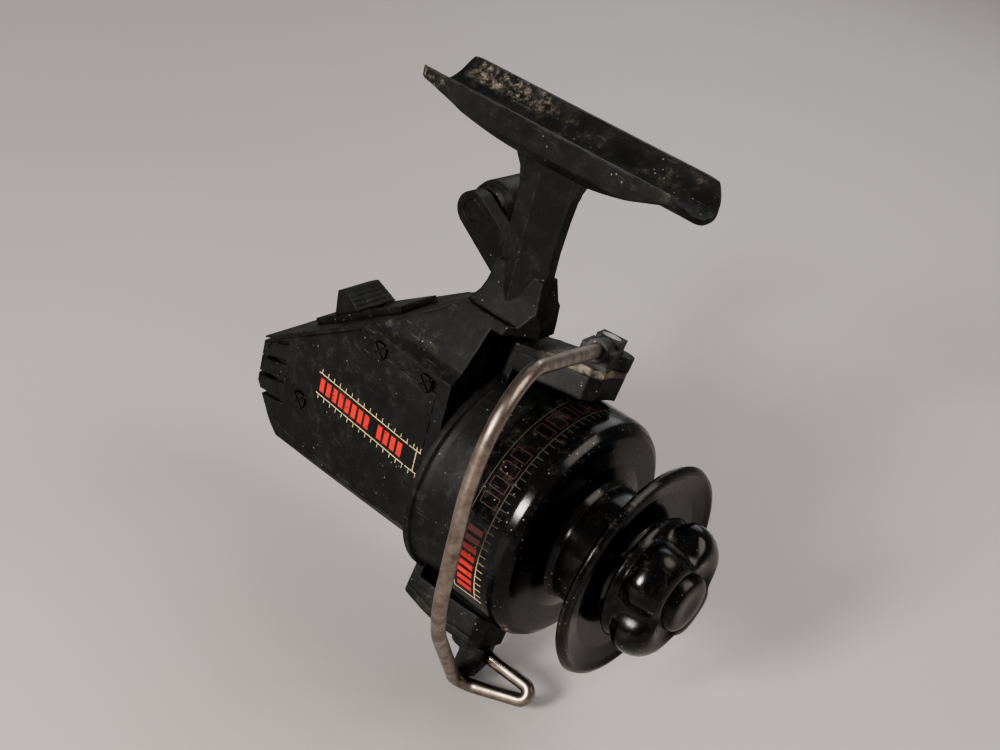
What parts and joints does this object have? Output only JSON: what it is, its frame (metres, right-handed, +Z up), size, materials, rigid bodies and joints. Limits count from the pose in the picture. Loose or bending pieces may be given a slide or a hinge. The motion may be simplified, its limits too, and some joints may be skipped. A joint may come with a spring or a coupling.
{
  "type": "spinning reel",
  "caption": "Open-bail spinning reel with skirted spool, folding wire bail, left crank handle, front drag knob and a saddle foot for the rod seat.",
  "frame": {"origin": "on the rod's axis, above the middle of the foot's saddle", "axes": "+X forward along the rod and the main shaft, +Y to the left (the handle side), +Z up, away from the reel body"},
  "size_m": [0.1168, 0.1385, 0.1236],
  "materials": {
    "charcoal_plastic": "matte moulded charcoal-black plastic with a fine grain, scuffed pale along its edges",
    "gloss_plastic": "polished black plastic with light scratches and dust",
    "grey_plastic": "chalky dark grey plastic, weathered",
    "white_plastic": "natural low-friction plastic",
    "tarnished_steel": "satin steel wire, lightly tarnished",
    "bright_steel": "ground steel",
    "plated_steel": "zinc-plated steel screws",
    "brass": "turned brass",
    "felt": "oiled felt washers"
  },
  "bodies": {
    "housing": {"frame_housing": "charcoal_plastic", "side_cover": "charcoal_plastic", "cover_screws": "plated_steel", "switch_guide": "charcoal_plastic", "pawl_pin": "bright_steel", "axle_bushes": "brass", "slider_guide_rod": "bright_steel", "rear_shaft_bush": "brass", "bearing_outer_race": "bright_steel", "bearing_retainer": "bright_steel", "retainer_screws": "plated_steel"},
    "switch": {"anti_reverse_switch": "charcoal_plastic"},
    "pawl": {"anti_reverse_pawl": "bright_steel"},
    "gear_train": {"gear_axle": "bright_steel", "drive_gear": "brass", "ratchet_wheel": "bright_steel", "crank_pin": "bright_steel", "crank_arm": "charcoal_plastic", "crank_screw": "plated_steel", "knob_spindle": "bright_steel"},
    "grip": {"handle_knob": "charcoal_plastic", "knob_cap": "gloss_plastic"},
    "rotor_group": {"pinion_gear": "brass", "bearing_inner_race": "bright_steel", "bearing_balls": "bright_steel", "rotor": "charcoal_plastic", "rotor_nut": "bright_steel", "holder_arm_cover": "charcoal_plastic", "roller_arm_cover": "charcoal_plastic", "arm_cover_screws": "plated_steel", "bail_spring": "bright_steel", "bail_pivot_screws": "plated_steel"},
    "trip": {"trip_lever": "bright_steel"},
    "bail": {"bail_holder": "grey_plastic", "bail_roller_arm": "charcoal_plastic", "bail_wire": "tarnished_steel", "roller_pin": "bright_steel"},
    "roller": {"line_roller": "bright_steel"},
    "shaft_group": {"main_shaft": "bright_steel", "slider_yoke": "grey_plastic", "yoke_screw": "plated_steel", "spool_sleeve": "brass", "click_gear": "white_plastic", "drag_washers": "bright_steel"},
    "spool_group": {"spool": "gloss_plastic", "click_pawl": "white_plastic", "drag_felts": "felt", "drag_clip": "bright_steel"},
    "drag": {"drag_knob": "gloss_plastic", "drag_nut": "brass", "drag_spring": "bright_steel"}
  },
  "joints": [
    {"name": "handle_turn", "type": "hinge", "parent": "housing", "child": "gear_train", "pos_m": [-0.02005, 0, -0.07838], "axis": [0, 1, 0], "continuous": true},
    {"name": "rotor_spin", "type": "hinge", "parent": "housing", "child": "rotor_group", "pos_m": [-0.00025, 0, -0.08538], "axis": [1, 0, 0], "continuous": true},
    {"name": "grip_spin", "type": "hinge", "parent": "gear_train", "child": "grip", "pos_m": [-0.05327, 0.07, -0.05738], "axis": [0, 1, 0], "continuous": true},
    {"name": "spool_stroke", "type": "slide", "parent": "housing", "child": "shaft_group", "axis": [1, 0, 0], "range_m": [-0.01, 0]},
    {"name": "spool_slip", "type": "hinge", "parent": "shaft_group", "child": "spool_group", "pos_m": [-0.00025, 0, -0.08538], "axis": [1, 0, 0], "continuous": true},
    {"name": "drag_turn", "type": "hinge", "parent": "shaft_group", "child": "drag", "pos_m": [-0.00025, 0, -0.08538], "axis": [1, 0, 0], "range_deg": [-540, 540]},
    {"name": "bail_flip", "type": "hinge", "parent": "rotor_group", "child": "bail", "pos_m": [0.01515, 0, -0.08538], "axis": [0, 0.2773, 0.9608], "range_deg": [0, 90]},
    {"name": "line_roller_spin", "type": "hinge", "parent": "bail", "child": "roller", "pos_m": [0.01484, -0.00482, -0.12427], "axis": [0, 0.2773, 0.9608], "continuous": true},
    {"name": "bail_trip_slide", "type": "slide", "parent": "rotor_group", "child": "trip", "axis": [1, 0, 0], "range_m": [0, 0.0025]},
    {"name": "switch_slide", "type": "slide", "parent": "housing", "child": "switch", "axis": [0.8377, 0, 0.5461], "range_m": [0, 0.004]},
    {"name": "pawl_swing", "type": "hinge", "parent": "housing", "child": "pawl", "pos_m": [-0.03745, 0, -0.07438], "axis": [0, 1, 0], "range_deg": [0, 12.05]}
  ],
  "couplings": [
    {"joint": "rotor_spin", "follows": "handle_turn", "ratio": 3.6},
    {"joint": "pawl_swing", "follows": "switch_slide", "rad_per_m": 52.3}
  ]
}
